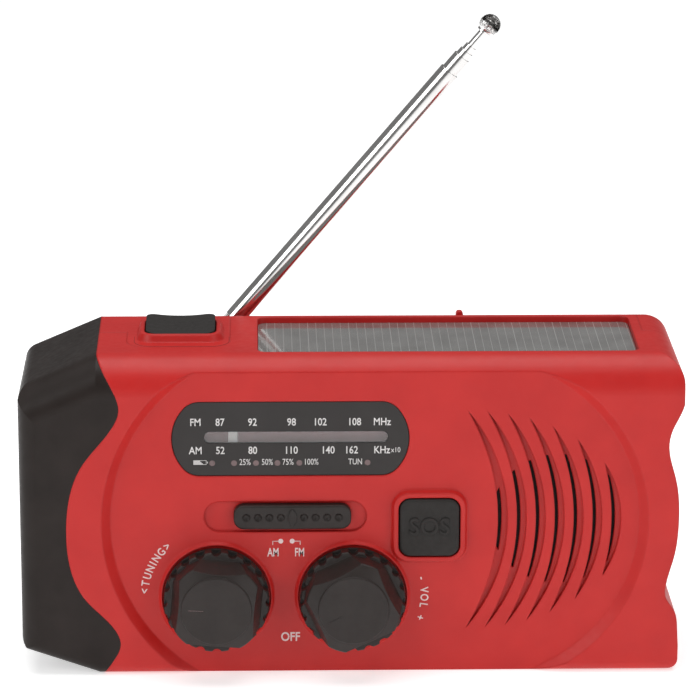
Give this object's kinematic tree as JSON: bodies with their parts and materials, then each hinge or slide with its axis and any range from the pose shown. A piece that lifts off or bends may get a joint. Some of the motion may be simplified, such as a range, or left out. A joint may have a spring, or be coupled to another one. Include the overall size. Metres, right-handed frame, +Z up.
{
  "type": "emergency radio",
  "caption": "Red box-shaped hand-crank emergency radio with black torch nose, round knobs, dial, slatted grille, solar top and telescopic aerial.",
  "frame": {"origin": "middle of the base, on the seam plane between front and rear shell", "axes": "+X right along the front, +Y from front to back, +Z up"},
  "size_m": [0.1578, 0.061, 0.1523],
  "materials": {
    "red_shell": "satin",
    "black_plastic": "satin",
    "black_rubber": "matte",
    "dial_print": "gloss",
    "clear_plastic": "clear",
    "pale_plastic": "satin",
    "white_plastic": "satin",
    "chrome": "mirror",
    "steel": "satin",
    "solar": "gloss",
    "board_green": "satin",
    "gear_plastic": "satin",
    "ferrite": "matte",
    "copper": "satin",
    "black_cloth": "matte",
    "paper_cone": "matte",
    "cord_yarn": "matte",
    "cell_wrap": "gloss",
    "reflector": "mirror",
    "lamp_green": "gloss"
  },
  "bodies": {
    "case": {"front_shell": "red_shell", "rear_shell": "red_shell", "nose_shell": "black_plastic", "torch_lens": "clear_plastic", "torch_reflector": "reflector", "torch_lamp": "white_plastic", "dial_plate": "dial_print", "dial_window": "clear_plastic", "dial_backing": "pale_plastic", "indicator_lamps": "lamp_green", "pointer_rail": "steel", "dial_cord": "cord_yarn", "tuning_capacitor": "white_plastic", "volume_pot": "steel", "band_switch": "steel", "press_switches": "black_plastic", "switch_board": "board_green", "solar_panel": "solar", "main_board": "board_green", "ferrite_rod": "ferrite", "ferrite_coil": "copper", "speaker_cloth": "black_cloth", "speaker_frame": "steel", "speaker_cone": "paper_cone", "speaker_magnet": "ferrite", "idler_axle": "steel", "generator": "steel", "gear_plate": "white_plastic", "cell": "cell_wrap", "cell_contacts": "steel", "cell_tray": "black_plastic", "sockets": "steel", "socket_board": "board_green", "headphone_jack": "black_plastic", "case_screws": "steel"},
    "tuning": {"tuning_knob": "black_plastic", "tuning_drum": "gear_plastic"},
    "pointer": {"dial_pointer": "white_plastic"},
    "volume": {"volume_knob": "black_plastic", "volume_shaft": "steel"},
    "band": {"band_slider": "black_plastic"},
    "sos": {"sos_button": "black_rubber"},
    "torch_key": {"torch_button": "black_rubber"},
    "crank": {"crank_arm": "black_plastic", "crank_shaft": "steel", "crank_gear": "gear_plastic", "grip_pin": "steel"},
    "grip": {"grip_spindle": "steel"},
    "sleeve": {"grip_sleeve": "black_plastic"},
    "idler": {"idler_gear": "gear_plastic"},
    "dynamo": {"generator_pinion": "gear_plastic"},
    "cell_lid": {"cell_cover": "red_shell"},
    "socket_lid": {"socket_cover": "red_shell"},
    "turret": {"aerial_turret": "chrome", "aerial_pin": "steel"},
    "mast_1": {"aerial_tube_1": "chrome"},
    "mast_2": {"aerial_tube_2": "chrome"},
    "mast_3": {"aerial_tube_3": "chrome"},
    "mast_4": {"aerial_tube_4": "chrome"},
    "mast_5": {"aerial_rod": "chrome"}
  },
  "joints": [
    {"name": "tuning_turn", "type": "hinge", "parent": "case", "child": "tuning", "pos_m": [-0.03224, -0.024, 0.0194], "axis": [0, 1, 0], "range_deg": [-27.5, 232]},
    {"name": "pointer_slide", "type": "slide", "parent": "case", "child": "pointer", "axis": [1, 0, 0], "range_m": [-0.0036, 0.0294]},
    {"name": "volume_turn", "type": "hinge", "parent": "case", "child": "volume", "pos_m": [0.00035, -0.024, 0.0194], "axis": [0, 1, 0], "range_deg": [0, 280]},
    {"name": "band_slide", "type": "slide", "parent": "case", "child": "band", "axis": [1, 0, 0], "range_m": [-0.00274, 0]},
    {"name": "sos_press", "type": "slide", "parent": "case", "child": "sos", "axis": [0, 1, 0], "range_m": [0, 0.001], "stiffness_N_per_m": 600, "springref_m": -0.0005},
    {"name": "torch_press", "type": "slide", "parent": "case", "child": "torch_key", "axis": [0, 0, -1], "range_m": [0, 0.0012], "stiffness_N_per_m": 600, "springref_m": -0.0005},
    {"name": "crank_spin", "type": "hinge", "parent": "case", "child": "crank", "pos_m": [0.038, 0.017, 0.035], "axis": [0, 1, 0], "continuous": true},
    {"name": "grip_fold", "type": "hinge", "parent": "crank", "child": "grip", "pos_m": [0.014, 0.0211, 0.035], "axis": [0, 0, 1], "range_deg": [0, 90]},
    {"name": "grip_spin", "type": "hinge", "parent": "grip", "child": "sleeve", "pos_m": [0.026, 0.0211, 0.035], "axis": [1, 0, 0], "continuous": true},
    {"name": "idler_spin", "type": "hinge", "parent": "case", "child": "idler", "pos_m": [0.01652, 0.005, 0.0474], "axis": [0, 1, 0], "continuous": true},
    {"name": "dynamo_spin", "type": "hinge", "parent": "case", "child": "dynamo", "pos_m": [-0.00428, 0.005, 0.0474], "axis": [0, 1, 0], "continuous": true},
    {"name": "cell_lid_pull", "type": "slide", "parent": "case", "child": "cell_lid", "axis": [0, 1, 0], "range_m": [0, 0.03]},
    {"name": "socket_lid_swing", "type": "hinge", "parent": "case", "child": "socket_lid", "pos_m": [-0.033, 0.0244, 0.0436], "axis": [-1, 0, 0], "range_deg": [0, 86]},
    {"name": "aerial_swivel", "type": "hinge", "parent": "case", "child": "turret", "pos_m": [-0.031, 0.02, 0.0693], "axis": [0, 0, 1], "range_deg": [0, 150]},
    {"name": "aerial_tilt", "type": "hinge", "parent": "turret", "child": "mast_1", "pos_m": [-0.031, 0.02, 0.0724], "axis": [0, 1, 0], "range_deg": [-40.2, 49.8]},
    {"name": "aerial_draw_2", "type": "slide", "parent": "mast_1", "child": "mast_2", "axis": [0.6455, 0, 0.7638], "range_m": [0, 0.066]},
    {"name": "aerial_draw_3", "type": "slide", "parent": "mast_2", "child": "mast_3", "axis": [0.6455, 0, 0.7638], "range_m": [0, 0.066]},
    {"name": "aerial_draw_4", "type": "slide", "parent": "mast_3", "child": "mast_4", "axis": [0.6455, 0, 0.7638], "range_m": [0, 0.066]},
    {"name": "aerial_draw_5", "type": "slide", "parent": "mast_4", "child": "mast_5", "axis": [0.6455, 0, 0.7638], "range_m": [0, 0.066]}
  ],
  "couplings": [
    {"joint": "pointer_slide", "follows": "tuning_turn", "m_per_rad": 0.0072},
    {"joint": "idler_spin", "follows": "crank_spin", "ratio": -4.1667},
    {"joint": "dynamo_spin", "follows": "crank_spin", "ratio": 13.889}
  ]
}
